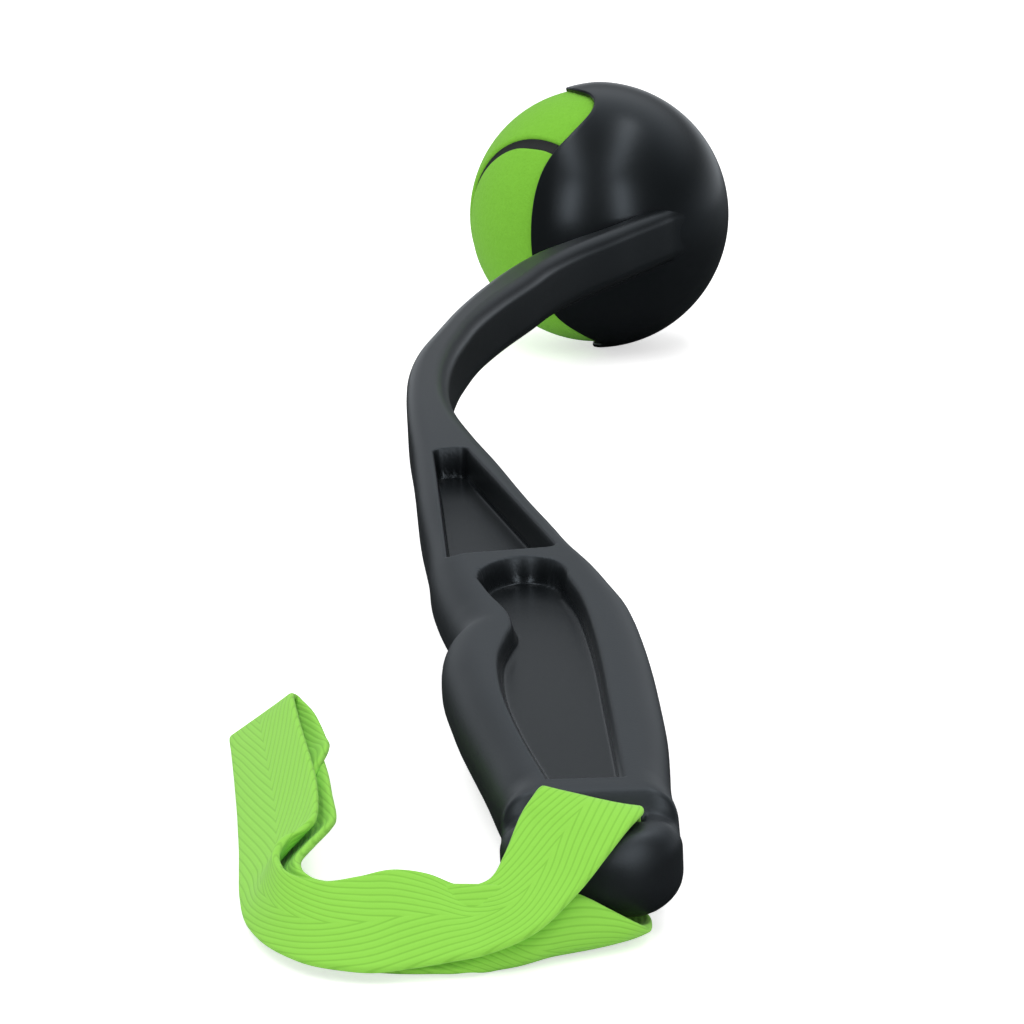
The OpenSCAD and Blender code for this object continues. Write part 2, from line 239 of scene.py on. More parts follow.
@dataclass(frozen=True)
class Rest:
    """The launcher lies on its cup and on the webbing under its butt, rolled a little to the throw side."""

    reach: float = 427.0
    cup_radius: float = 34.4
    handle_thickness: float = 16.0
    butt_lift: float = 1.8
    lean: float = math.radians(2.5)

    @property
    def slot_height(self) -> float:
        """Height of the strap slot's middle over the floor."""
        return self.handle_thickness / 2 + self.butt_lift

    @property
    def tilt(self) -> float:
        """Angle of the launcher's length over the floor."""
        return math.asin((self.cup_radius - self.slot_height) / self.reach)

    @property
    def floor(self) -> float:
        """Height of the floor in the row frame, in millimetres."""
        return -self.cup_radius

    def turn(self) -> Array:
        """Rotation matrix from the launcher's own frame to the row frame: tilt about X, then lean about Y."""
        ct, st, cl, sl = math.cos(self.tilt), math.sin(self.tilt), math.cos(self.lean), math.sin(self.lean)
        tilt = np.array([[1, 0, 0], [0, ct, -st], [0, st, ct]])
        lean = np.array([[cl, 0, -sl], [0, 1, 0], [sl, 0, cl]])
        return lean @ tilt

    def place(self, points: Array) -> Array:
        """Points of the launcher's own frame, in millimetres, as row-frame points in metres."""
        return points @ self.turn().T * MM

    def slot_place(self) -> Array:
        """The strap slot's middle in the row frame, in millimetres."""
        return self.turn() @ np.array([0.0, -self.reach, 0.0])


def linear(colour: str) -> tuple[float, float, float, float]:
    """An sRGB hex colour as linear values, opaque."""
    parts = [int(colour[i:i + 2], 16) / 255 for i in (1, 3, 5)]
    return tuple(c / 12.92 if c <= 0.04045 else ((c + 0.055) / 1.055) ** 2.4 for c in parts) + (1.0,)


def set_inputs(tree: bpy.types.NodeTree, node: bpy.types.Node, inputs: dict[str | int, object]) -> None:
    """Gives a node's sockets plain values, or links them."""
    for key, value in inputs.items():
        if isinstance(value, bpy.types.NodeSocket):
            tree.links.new(value, node.inputs[key])
        else:
            node.inputs[key].default_value = value


def add_node(tree: bpy.types.NodeTree, kind: str, settings: dict[str, object] | None = None,
             inputs: dict[str | int, object] | None = None) -> bpy.types.Node:
    """Adds one node.

    Args:
        tree: The node tree.
        kind: The node's type.
        settings: Values for the node's own properties.
        inputs: For each socket, by name or number, a plain value or the socket that it is linked from.
    Returns:
        The node.
    """
    made = tree.nodes.new(kind)
    for key, value in (settings or {}).items():
        setattr(made, key, value)
    set_inputs(tree, made, inputs or {})
    return made


def new_material(name: str) -> tuple[bpy.types.Material, bpy.types.NodeTree, bpy.types.Node]:
    """An empty node material: the material, its tree and its Principled shader."""
    material = bpy.data.materials.new(name)
    material.use_nodes = True
    tree = material.node_tree
    tree.nodes.clear()
    shader = add_node(tree, "ShaderNodeBsdfPrincipled")
    add_node(tree, "ShaderNodeOutputMaterial", inputs={"Surface": shader.outputs["BSDF"]})
    return material, tree, shader


def calculate(tree: bpy.types.NodeTree, operation: str, *values: object) -> bpy.types.NodeSocket:
    """The result of one sum on sockets or numbers."""
    return add_node(tree, "ShaderNodeMath", {"operation": operation}, dict(enumerate(values))).outputs[0]


def fade(tree: bpy.types.NodeTree, value: bpy.types.NodeSocket, span: tuple[float, float],
         to: tuple[float, float] = (0.0, 1.0), kind: str = "LINEAR") -> bpy.types.NodeSocket:
    """A value carried from one span to another and held at the ends.

    Args:
        tree: The node tree.
        value: The value.
        span: Where it starts and ends.
        to: What it becomes there.
        kind: LINEAR, or SMOOTHSTEP for soft ends.
    Returns:
        The new value.
    """
    return add_node(tree, "ShaderNodeMapRange", {"interpolation_type": kind},
                    {"Value": value, "From Min": span[0], "From Max": span[1], "To Min": to[0],
                     "To Max": to[1]}).outputs["Result"]


def blend(tree: bpy.types.NodeTree, share: bpy.types.NodeSocket, first: object, second: object) -> bpy.types.NodeSocket:
    """A mix of two numbers or sockets by a share."""
    return add_node(tree, "ShaderNodeMix", inputs={0: share, 2: first, 3: second}).outputs[0]


def blend_colour(tree: bpy.types.NodeTree, share: bpy.types.NodeSocket, first: object,
                 second: object) -> bpy.types.NodeSocket:
    """A mix of two colours, written as hex or linked, by a share."""
    first, second = (linear(c) if isinstance(c, str) else c for c in (first, second))
    return add_node(tree, "ShaderNodeMix", {"data_type": "RGBA"}, {0: share, 6: first, 7: second}).outputs[2]


def noise(tree: bpy.types.NodeTree, vector: bpy.types.NodeSocket, scale: float, detail: float,
          roughness: float = 0.5) -> bpy.types.NodeSocket:
    """Soft noise from 0 to 1, with a scale in waves for each unit of the vector."""
    inputs = {"Vector": vector, "Scale": scale, "Detail": detail, "Roughness": roughness}
    return add_node(tree, "ShaderNodeTexNoise", inputs=inputs).outputs["Fac"]


def axes(tree: bpy.types.NodeTree, vector: bpy.types.NodeSocket) -> bpy.types.NodeOutputs:
    """The three parts of a vector."""
    return add_node(tree, "ShaderNodeSeparateXYZ", inputs={"Vector": vector}).outputs


def relief(tree: bpy.types.NodeTree, height: bpy.types.NodeSocket, strength: object,
           distance: float) -> bpy.types.NodeSocket:
    """A normal tilted by a height, where the distance is the relief's depth in metres."""
    inputs = {"Height": height, "Strength": strength, "Distance": distance}
    return add_node(tree, "ShaderNodeBump", inputs=inputs).outputs["Normal"]


@dataclass(frozen=True)
class MouldedPlastic:
    """Polypropylene, injection moulded in black: a satin skin with a fine spark-eroded grain on the grip.

    The grain breaks the highlight up on the handle. The cup is smoother, and the recess floors are polished.
    """

    colour: str = "#101315"
    lighter: str = "#16191B"
    reflection: str = "#E6F3FF"
    roughness: tuple[float, float] = (0.47, 0.3)
    recess_roughness: float = 0.27
    level: tuple[float, float] = (0.68, 0.4)
    recess_level: float = 0.34
    grip_to_cup: tuple[float, float] = (-0.26, -0.12)
    grain: float = 0.45
    grain_end: tuple[float, float] = (-0.12, -0.02)
    grain_strength: tuple[float, float] = (0.09, 0.02)

    def material(self) -> bpy.types.Material:
        """The plastic as a material. It reads the moulding's own attribute, which says where it is polished."""
        made, tree, shader = new_material("moulded_polypropylene")
        place = add_node(tree, "ShaderNodeTexCoord").outputs["Object"]
        along = axes(tree, place)["Y"]
        polish = add_node(tree, "ShaderNodeAttribute", {"attribute_name": "polish"}).outputs["Fac"]
        rough, level = (blend(tree, polish, fade(tree, along, self.grip_to_cup, ends, "SMOOTHSTEP"), recess)
                        for ends, recess in ((self.roughness, self.recess_roughness), (self.level, self.recess_level)))
        # The grain of such a mould is about 0.1 mm; it is drawn at 0.45 mm so that it shows.
        grain = noise(tree, place, 1 / (self.grain * MM), 2.0)
        strength = fade(tree, along, self.grain_end, self.grain_strength)
        set_inputs(tree, shader, {
            "Base Color": blend_colour(tree, noise(tree, place, 45.0, 3.0), self.colour, self.lighter),
            "Roughness": rough, "Specular IOR Level": level, "Normal": relief(tree, grain, strength, 0.0002),
            "IOR": 1.49, "Specular Tint": linear(self.reflection)})
        return made


@dataclass(frozen=True)
class HerringboneWebbing:
    """Polyester webbing, woven as a herringbone: two bands of slanted ribs that meet in a V along the middle.

    The ribs carry rows of fine painted shade in their grooves, and the fibres a soft sheen at the edges of each fold.
    """

    colour: str = "#95DD50"
    # Darker colour painted into the grooves between the ribs, as painted shade.
    shade: str = "#86CD45"
    rib: float = 4.9
    slant: float = 4.6

    def material(self) -> bpy.types.Material:
        """The webbing as a material. It reads the strap's own attribute: across, along and side, in millimetres."""
        made, tree, shader = new_material("herringbone_polyester_webbing")
        weave = add_node(tree, "ShaderNodeAttribute", {"attribute_name": "weave"}).outputs["Vector"]
        part = axes(tree, weave)
        # Height of the ribs: a wave along the strap, held back by the distance from the middle.
        pushed = calculate(tree, "MULTIPLY_ADD", calculate(tree, "ABSOLUTE", part["X"]), -self.slant, part["Y"])
        rib = calculate(tree, "SINE", calculate(tree, "MULTIPLY", pushed, 2 * math.pi / self.rib))
        height = calculate(tree, "MULTIPLY_ADD", noise(tree, weave, 2.2, 2.0), 0.9, rib)
        # Base colour: painted shade where the rib wave is lowest, in the grooves between the ribs.
        set_inputs(tree, shader, {
            "Base Color": blend_colour(tree, fade(tree, rib, (-1.0, -0.5)), self.shade, self.colour),
            "Normal": relief(tree, height, 0.25, 0.00012), "Roughness": 0.85, "Sheen Weight": 0.12,
            "Specular IOR Level": 0.2})
        return made


@dataclass(frozen=True)
class Felt:
    """Needled wool and nylon felt: short fibres that lie in small tufts and scatter the light softly."""

    colour: str = "#88D042"
    shade: str = "#78BE34"
    tuft: float = 0.9

    def material(self) -> bpy.types.Material:
        """The felt as a material."""
        made, tree, shader = new_material("needled_felt")
        place = add_node(tree, "ShaderNodeTexCoord").outputs["Object"]
        tuft = noise(tree, place, 1 / (self.tuft * MM), 4.0, 0.65)
        set_inputs(tree, shader, {
            "Base Color": blend_colour(tree, tuft, self.shade, self.colour),
            "Normal": relief(tree, tuft, 0.5, 0.0004), "Roughness": 0.95, "Sheen Weight": 0.08,
            "Specular IOR Level": 0.15})
        return made


@dataclass(frozen=True)
class Rubber:
    """Moulded natural rubber: dull, with a faint bloom."""

    name: str
    colour: str
    bloom: str
    roughness: float = 0.7

    def material(self) -> bpy.types.Material:
        """The rubber as a material."""
        made, tree, shader = new_material(self.name)
        bloom = noise(tree, add_node(tree, "ShaderNodeTexCoord").outputs["Object"], 400.0, 3.0)
        set_inputs(tree, shader, {
            "Base Color": blend_colour(tree, bloom, self.colour, self.bloom),
            "Normal": relief(tree, bloom, 0.2, 0.0001), "Roughness": self.roughness})
        return made


@dataclass(frozen=True)
class SewingThread:
    """Twisted polyester thread: a slight gloss, and painted highlight and shade in diagonal bands where the strands
    turn.
    """

    # Lighter and darker colours of the painted highlight and shade in bands.
    colour: str = "#6FC235"
    shade: str = "#54A024"

    def material(self) -> bpy.types.Material:
        """The thread as a material."""
        made, tree, shader = new_material("polyester_thread")
        place = add_node(tree, "ShaderNodeTexCoord").outputs["Object"]
        twist_light_and_shade = add_node(tree, "ShaderNodeTexWave", {"bands_direction": "DIAGONAL"}, {"Vector": place, "Scale": 1000.0})
        # Base colour: painted highlight and shade, as lighter and darker diagonal bands.
        set_inputs(tree, shader, {
            "Base Color": blend_colour(tree, twist_light_and_shade.outputs["Fac"], self.shade, self.colour), "Roughness": 0.55})
        return made


@dataclass
class Moulding:
    """The black moulding: butt with strap slot, grip with recesses, arm and ball cup."""

    rest: Rest
    butt_w: float = 26.0
    butt_l: float = 11.5
    butt_t: float = 12.4
    butt_corner: float = 10.0
    butt_round: float = 4.4
    grip_round: float = 6.0
    finger_round: float = 7.4
    grip_left: float = 24.6
    grip_right: float = 11.6
    arm_t: float = 14.0
    arm_w: float = 9.0
    arm_round: float = 3.4
    arm_bow: float = 39.3
    grip_depths: tuple[float, float] = (2.0, 4.8)
    panel_floor: float = 1.8
    recess_round: float = 1.8
    grip_recess_end: float = 114.8
    slot_middle: float = -0.6
    slot_half: tuple[float, float] = (8.2, 2.1)
    seat_radius: float = 33.05
    jaw_radius: float = 33.42
    jaw_hug: float = 2.7
    opening_angle: float = math.radians(20)
    far_jaw: float = 13.0
    near_jaw: float = 5.7
    jaw_step: float = 4.5
    notch_depth: float = 5.0
    arm_root: float = 80.0
    wall_middle: float = 33.7
    arm_end: float = 12.0
    mouth_round: float = 0.8
    side_columns: int = 15
    middle_columns: int = 28
    gather: tuple[float, ...] = (1.0, 0.8, 0.6, 0.4, 0.2, 0, -0.12, -0.25, -0.37, -0.5, -0.7, -1.0, -1.4, -2.0, -2.8)
    grip_span: tuple[float, float] = (10.0, 104.0)
    recess_left: Knots = ((10, -6.2), (25, -9.6), (37, -12), (48, -13.8), (58, -14.7), (66, -14.8), (74, -13.8),
                          (79.5, -13), (86, -13.9), (95, -16.9), (104, -19.4))
    recess_right: Knots = ((10, 4.8), (28, 3.7), (45, 2.6), (62, 1.5), (79, 0), (93, -1.8), (104, -4.2))
    panel_corners: Knots = ((-25.2, 117.8), (-6, 120.3), (-24.6, 186), (-30.8, 185))

    def outline(self) -> tuple[Knots, Knots, Knots, Knots, Knots]:
        """Left edge, right edge, half thickness and the two edges' rounding, as knots at stations from the slot."""
        r, bw, bow, aw = self.rest.reach, self.butt_w / 2, self.arm_bow, self.arm_w
        gl, gr = self.grip_left, self.grip_right
        left = ((-self.butt_l, -bw), (0, -bw), (10, -bw), (17, -bw - 1.4), (27, -bw - 3.4), (48, -gl + 3.6),
                (58, -gl + 1.8), (67, -gl + 0.4), (75, -gl), (80, -gl + 0.4), (85, -gl + 1.7), (93, -gl + 0.4),
                (101, -gl - 1.3), (108, -gl - 2.6), (117, -gl - 3.8), (132, -gl - 5), (158, -gl - 7.8),
                (r - 232, -bow + 3.8), (r - 209, -bow + 1.6), (r - 189, -bow + 0.3), (r - 174, -bow),
                (r - 159, -bow + 1), (r - 143, -bow + 3.7), (r - 120, -bow + 8.1), (r - 94, -bow + 15.1),
                (r - 72, -16), (r - 60, -8.6), (r - 49, -0.7), (r - 36, 7.5), (r - 22, 15), (r - 12, 20))
        right = ((-self.butt_l, bw), (0, bw - 0.1), (9, bw - 0.9), (17, gr + 0.1), (25, gr + 0.1), (36, gr),
                 (50, gr - 0.7), (65, gr - 1.7), (81, gr - 3.2), (95, gr - 5.1), (104, gr - 7.3),
                 (115, gr - 10.4), (127, gr - 14.6), (137, gr - 17.5), (155, gr - 22.8), (180, gr - 29.4),
                 (r - 229, -bow + aw + 7.5), (r - 209, -bow + aw + 2.7), (r - 192, -bow + aw + 0.4),
                 (r - 176, -bow + aw), (r - 161, -bow + aw + 0.8), (r - 150, -bow + aw + 2.1),
                 (r - 132, -bow + aw + 5.1), (r - 113, -bow + aw + 10.3), (r - 94, -bow + aw + 16.8),
                 (r - 81, -9.3), (r - 67, -2.9), (r - 52, 6), (r - 44, 10.6), (r - 37, 14.9), (r - 33, 17.35),
                 (r - 30.7, 18.65), (r - 29.3, 19.4), (r - 28, 20.3), (r - 27, 21.3), (r - 26.2, 22.1),
                 (r - 25, 23.2), (r - 23.5, 24.5), (r - 21, 26.2), (r - 17, 28.2), (r - 12, 29.6))
        ht, bt, at = self.rest.handle_thickness / 2, self.butt_t / 2, self.arm_t / 2
        half = ((-self.butt_l, bt), (-4, bt), (-1.6, bt - 0.5), (-0.4, bt - 1.1), (2.4, bt - 1.2), (3.2, bt - 0.6),
                (4.4, ht - 0.5), (5.6, ht - 0.1), (9, ht), (60, ht), (150, ht),
                (r - 235, (ht + at) / 2 + 0.2), (r - 175, at + 0.1), (r - 110, at), (r - 12, at))
        gd, fd = self.grip_round, self.finger_round
        butt = ((-self.butt_l, self.butt_round), (3, self.butt_round))
        arm = ((150, gd - 1.2), (r - 235, self.arm_round + 0.5), (r - 190, self.arm_round), (r - 12, self.arm_round))
        back = butt + ((14, gd), (85, gd), (95, gd), (108, gd)) + arm
        front = butt + ((14, fd), (85, fd), (95, fd + 0.3), (108, fd), (122, gd + 0.4)) + arm
        return left, right, half, front, back

    def grip_outline(self) -> Array:
        """The grip recess's outline: its two edges, square at the butt and half an ellipse at the far end."""
        up = np.linspace(*self.grip_span, 60)
        left, right = smooth_curve(self.recess_left, up), smooth_curve(self.recess_right, up)
        middle, half = (left[-1] + right[-1]) / 2, (right[-1] - left[-1]) / 2
        a = np.linspace(0, math.pi, 24)[1:-1]
        last = self.grip_span[1]
        end = np.stack([middle + half * np.cos(a), last + (self.grip_recess_end - last) * np.sin(a)], -1)
        return np.concatenate([np.stack([right, up], -1), end, np.stack([left, up], -1)[::-1]])

    def panel_outline(self) -> Array:
        """The triangular recess's outline: its corners, each rounded by an arc that touches both edges."""
        b = np.asarray(self.panel_corners, float)
        u, v = unit(np.roll(b, 1, 0) - b), unit(np.roll(b, -1, 0) - b)
        half = np.arccos((u * v).sum(-1, keepdims=True)) / 2
        r = self.recess_round
        o = b + unit(u + v) * r / np.sin(half)
        p, q = b + u * r / np.tan(half) - o, b + v * r / np.tan(half) - o
        f, turn = np.linspace(0, 1, 7)[None, :, None], (math.pi - 2 * half)[:, None, :]
        arc = o[:, None] + (p[:, None] * np.sin(turn * (1 - f)) + q[:, None] * np.sin(turn * f)) / np.sin(turn)
        return arc.reshape(-1, 2)

    def guides(self, s: Array, x0: Array, x1: Array) -> tuple[Array, Array, Array]:
        """Two lines along the launcher that mesh columns gather at, and how close they gather.

        The lines follow the slot's ends, then the recess edges, and keep a share of the width elsewhere.

        Args:
            s: Stations.
            x0: Left edge at each station.
            x1: Right edge at each station.
        Returns:
            The left line, the right line and the scale of the column spacing.
        """
        middle, width = (x0 + x1) / 2, x1 - x0
        share, shift = self.slot_half[0] / self.butt_w, self.slot_middle * np.interp(s, [3, 10], [1, 0])
        even = (middle - share * width + shift, middle + share * width + shift)
        first, last = self.grip_span
        grip = np.clip(s, first, last)
        near_left, near_right, far_right, far_left = (corner[::-1] for corner in self.panel_corners)
        inner = []
        for knots, corners in ((self.recess_left, (near_left, far_left)), (self.recess_right, (near_right, far_right))):
            way = np.array((knots[-1],) + corners)
            inner.append(np.where(s < last, smooth_curve(knots, grip), np.interp(s, way[:, 0], way[:, 1])))
        follow = np.interp(s, [3, 10, 186, 200], [0, 1, 1, 0])
        follow = follow * follow * (3 - 2 * follow)
        narrow = np.minimum(width / self.butt_w, 1)
        scale = np.where(s < 3, narrow, follow + (1 - follow) * narrow)
        return tuple(e + (i - e) * follow for e, i in zip(even, inner)) + (scale,)

    def upper_surface(self, s: Array) -> tuple[Array, Array, Array, Array, Array]:
        """Upper half of the handle and arm, as a height over the launcher's middle plane.

        Each row crosses from the right edge to the left. The height is flat, falls to the sides on quarter
        circles, and drops into the slot's mouth and the recesses by the distance inside their outlines: a round
        shoulder, a steep wall and a round foot.

        Args:
            s: Station of each point, rows by columns.
        Returns:
            Across, height, the heights at which the left and the right side flat start, and where it is polished.
        """
        left, right, half, front, back = self.outline()
        d = s + self.butt_l
        side, face = (round_over(r, r - d) for r in (self.butt_corner, self.butt_round))
        x0, x1 = smooth_curve(left, s) + side, smooth_curve(right, s) - side
        h = smooth_curve(half, s) - face
        rl, rr = (np.minimum(np.minimum(smooth_curve(e, s), h - 0.2), (x1 - x0) / 2 - 0.2) for e in (front, back))
        gl, gr, k = self.guides(s, x0, x1)
        # Shares of edge, guide and gathering in each column. The left half mirrors the right one.
        near, n, m = np.array(self.gather), self.side_columns, self.middle_columns
        ease = 1 - np.cos(np.linspace(0, math.pi / 2, n + 1)[:-1])
        share = np.linspace(0, 1, m + 2)[1:-1]
        edge = np.concatenate([1 - ease, np.zeros(2 * len(near) + m + n)])
        guide = np.concatenate([ease, np.ones(len(near)), 1 - share, np.zeros(len(near) + n)])
        spread = np.concatenate([near[0] * ease, near, near[-1] * (1 - 2 * share), -near[::-1], -near[0] * ease[::-1]])
        x = x1 * edge + gr * guide + k * spread + gl * guide[::-1] + x0 * edge[::-1]
        z = h - round_over(rl, x0 + rl - x) - round_over(rr, x - x1 + rr)
        slot = np.array([[-1, -1], [1, -1], [1, 1], [-1, 1]]) * np.array(self.slot_half) + [self.slot_middle, 0]
        mouth = outline_depth(x, s, slot)
        z = z - round_over(self.mouth_round, mouth + self.mouth_round)
        down = np.interp(s, [self.grip_span[0], self.grip_recess_end], self.grip_depths)
        floor = self.rest.handle_thickness / 2 - down
        polish = np.zeros_like(z)
        for outline, low, shoulder, foot, wall in ((self.grip_outline(), floor, 0.7, 0.8, 0.6),
                                                   (self.panel_outline(), self.panel_floor, 0.6, 0.3, 0.6)):
            depth = outline_depth(x, s, outline)
            z = self.sink(z, depth, low, shoulder, foot, wall)
            polish = np.maximum(polish, np.clip(depth / 0.5, 0, 1))
        return x, z, h - rl, h - rr, polish

    def sink(self, z: Array, depth: Array, low: Array | float, shoulder: float, foot: float, wall: float) -> Array:
        """Heights after a recess is pressed in.

        Args:
            z: Heights of the face.
            depth: Distance inside the recess's outline.
            low: Height of the recess's floor.
            shoulder: Radius of the edge at the face.
            foot: Radius between wall and floor.
            wall: Width of the wall as seen from above.
        Returns:
            The lowered heights.
        """
        top = z - shoulder
        rounded = z - round_over(shoulder, depth + shoulder)
        slope = top + (low + foot - top) * depth / wall
        base = low + round_over(foot, wall + foot - depth)
        return np.select([depth <= -shoulder, depth <= 0, depth <= wall], [z, rounded, slope], np.minimum(base, z))

    def stations(self) -> Array:
        """Stations of the mesh rows, close together at the slot and at the ends of the recesses."""
        a, slot = np.linspace(0, math.pi / 2, 15)[:-1], self.slot_half[1]
        bounds = (-2.5, -slot, slot, 8, 14, 80, 101, 123, 182, 188, self.rest.reach - self.arm_root)
        counts = (2, 8, 24, 30, 42, 21, 88, 37, 32, 45)
        runs = [np.linspace(b, c, n, endpoint=False) for b, c, n in zip(bounds, bounds[1:], counts)]
        return np.concatenate([-self.butt_l + 9 * (1 - np.cos(a)), *runs, bounds[-1:]])

    def handle_and_arm(self) -> tuple[Array, Array, Array, Array]:
        """Butt, grip and arm as one closed skin, which ends inside the cup's wall.

        Rows are rings at stations: the upper half from right to left, the side, the mirrored lower half and the
        other side. The last rows of each column run to where that column meets the middle of the cup's wall. The
        slot is left out of both halves and lined with walls.

        Returns:
            Points in the launcher's frame, quads, triangles and how polished each point is.
        """
        edge = len(self.gather)
        columns = 2 * (self.side_columns + edge) + self.middle_columns
        plain = np.repeat(self.stations()[:, None], columns, 1)
        start, end = plain[-1, 0], self.rest.reach - self.arm_end
        probe = np.repeat(np.linspace(start, end, 240)[:, None], columns, 1)
        x, z, *_ = self.upper_surface(probe)
        away = np.sqrt(x**2 + (probe - self.rest.reach) ** 2 + z**2)
        hit = np.argmax(away < self.wall_middle, 0)
        pick = np.arange(columns)
        before, after = away[hit - 1, pick], away[hit, pick]
        reach_to = probe[hit - 1, 0] + (before - self.wall_middle) / (before - after) * (probe[1, 0] - probe[0, 0])
        last = start + (reach_to - start) * np.linspace(0, 1, 33)[1:, None]
        s = np.concatenate([plain, last])
        x, z, flat_left, flat_right, polish = self.upper_surface(s)
        y = s - self.rest.reach
        upper, lower = np.stack([x, y, z], -1), np.stack([x, y, -z], -1)
        mid = np.array([0.5, 0.0, -0.5])[None, :, None]
        left_side = upper[:, -1:] * [1, 1, 0] + np.array([0, 0, 1]) * (flat_left[:, -1:, None] * mid)
        right_side = upper[:, :1] * [1, 1, 0] - np.array([0, 0, 1]) * (flat_right[:, :1, None] * mid)
        rings = np.concatenate([upper, left_side, lower[:, ::-1], right_side], 1)
        rows, ring = rings.shape[:2]
        ends = np.stack([rings[0].mean(0), unit(rings[-1].mean(0)) * self.wall_middle])
        points, quads, triangles = skin(rings, ends)
        r0, r1 = (int(np.argmin(abs(plain[:, 0] - side))) for side in (-self.slot_half[1], self.slot_half[1]))
        on_line = self.gather.index(0)
        c0, c1 = self.side_columns + on_line, columns - 1 - self.side_columns - on_line
        keep = np.ones((rows - 1, ring), bool)
        keep[r0:r1, c0:c1] = False
        keep[r0:r1, 2 * columns + 2 - c1:2 * columns + 2 - c0] = False
        loop = np.concatenate([np.stack(np.broadcast_arrays(*p), -1) for p in (
            (r0, np.arange(c0, c1)), (np.arange(r0, r1), c1), (r1, np.arange(c1, c0, -1)),
            (np.arange(r1, r0, -1), c0))])
        top = loop[:, 0] * ring + loop[:, 1]
        bottom = loop[:, 0] * ring + 2 * columns + 2 - loop[:, 1]
        walls = np.stack([top, np.roll(top, -1), np.roll(bottom, -1), bottom], -1)
        bare = np.zeros((rows, 3))
        shine = np.append(np.concatenate([polish, bare, polish[:, ::-1], bare], 1).ravel(), [0, 0])
        return points, np.concatenate([quads[keep.ravel()], walls]), triangles, shine

    def rim(self, across: Array, up: Array) -> Array:
        """Height of the cup's rim along the opening: two jaws with a notch between them, the far one shorter below.

        Args:
            across: Places across the opening, away from the arm's root to it.
            up: Places up across the opening.
        Returns:
            Heights.
        """
        nj, nd, fj, cr = self.near_jaw, self.notch_depth, self.far_jaw, self.rest.cup_radius
        below = np.clip(-up / cr * 1.4, 0, 1) * np.clip((8 - across) / 8, 0, 1)
        knots = ((-cr - 4, fj), (-20, fj), (-9, fj * 0.8), (0.5, fj * 0.49), (5, fj * 0.14), (7.6, -nd * 0.45),
                 (11, -nd * 0.95), (16, -nd), (22, -nd * 0.45), (29, nj * 0.6), (cr, nj), (cr + 4, nj + 0.5))
        return smooth_curve(knots, across) - self.jaw_step * below**2 * (3 - 2 * below)

    def shell_radius(self, z: Array) -> tuple[Array, Array]:
        """Outer and inner radius of the cup at a height along the opening.

        Below the middle they are spheres, above it a cone and a cylinder that close round the ball by a parabola.
        """
        low, pull = np.minimum(z, 0), self.jaw_hug * (np.maximum(z, 0) / self.far_jaw) ** 2
        cr, sr = self.rest.cup_radius, self.seat_radius
        cone = cr + (self.jaw_radius - cr) * z / (self.far_jaw + 2) - pull
        outer = np.where(z < 0, np.sqrt(np.maximum(cr**2 - low**2, 0)), cone)
        return outer, np.where(z < 0, np.sqrt(np.maximum(sr**2 - low**2, 0)), sr - pull)

    def wall_heights(self, share: Array, top: Array, radius: float) -> Array:
        """Heights of points spread evenly up a wall, which is a quarter circle and then straight.

        Args:
            share: Shares of the way from the pole to the top.
            top: Height of the wall's top at each angle.
            radius: Radius of the quarter circle.
        Returns:
            Heights, shares by angles.
        """
        quarter = radius * math.pi / 2
        way = share * np.where(top < 0, radius * np.arccos(np.clip(-top / radius, -1, 1)), quarter + top)
        return np.where(way < quarter, -radius * np.cos(np.minimum(way / radius, math.pi / 2)), way - quarter)

    def cup(self, turns: int = 200) -> tuple[Array, Array, Array]:
        """The ball cup: a wall's profile carried round the opening's axis.

        The profile runs from the outer pole up the outside to the rim, round the lip on a half circle and down the
        inside to the inner pole. The rim's height changes with the angle, and the rows stretch to it.

        Args:
            turns: Number of profiles round the axis.
        Returns:
            Points in the launcher's frame, quads and triangles.
        """
        a = np.linspace(0, 2 * math.pi, turns, endpoint=False)
        top = np.zeros(turns)
        for _ in range(6):
            outer, inner = self.shell_radius(top)
            top = 0.5 * top + 0.5 * self.rim((outer + inner) / 2 * np.cos(a), (outer + inner) / 2 * np.sin(a))
        outer, inner = self.shell_radius(top)
        lip = (outer - inner) / 2
        base = top - lip
        outer, inner = self.shell_radius(base)
        cr, sr = self.rest.cup_radius, self.seat_radius
        up = np.linspace(0, 1, 54)[1:, None]
        z_out, z_in = self.wall_heights(up, base, cr), self.wall_heights(up[::-1], base, sr)
        b = np.linspace(0, math.pi, 12)[1:-1, None]
        middle, half = (outer + inner) / 2, (outer - inner) / 2
        radius = np.concatenate([self.shell_radius(z_out)[0], middle + half * np.cos(b), self.shell_radius(z_in)[1]])
        z = np.concatenate([z_out, base + lip * np.sin(b), z_in])
        rings = np.stack([radius * np.cos(a), radius * np.sin(a), z], -1)
        points, quads, triangles = skin(rings, np.array([[0, 0, -cr], [0, 0, -sr]]), reverse=True)
        o = self.opening_angle
        turn = np.array([[-math.sin(o), 0, -math.cos(o)], [-math.cos(o), 0, math.sin(o)], [0, 1, 0]])
        return points @ turn.T, quads, triangles

    def build(self, material: bpy.types.Material) -> bpy.types.Object:
        """The whole moulding as one piece, which stands for the CAD body."""
        p, q, t, shine = self.handle_and_arm()
        p2, q2, t2 = self.cup()
        points = self.rest.place(np.concatenate([p, p2]))
        polish = np.outer(np.append(shine, np.zeros(len(p2))), [1, 1, 1])
        body = make_piece("launcher_moulding", points, np.concatenate([q, q2 + len(p)]),
                          np.concatenate([t, t2 + len(p)]), {"polish": polish})
        hand_over(body, Body.LAUNCHER, material, "launcher_body")
        return body


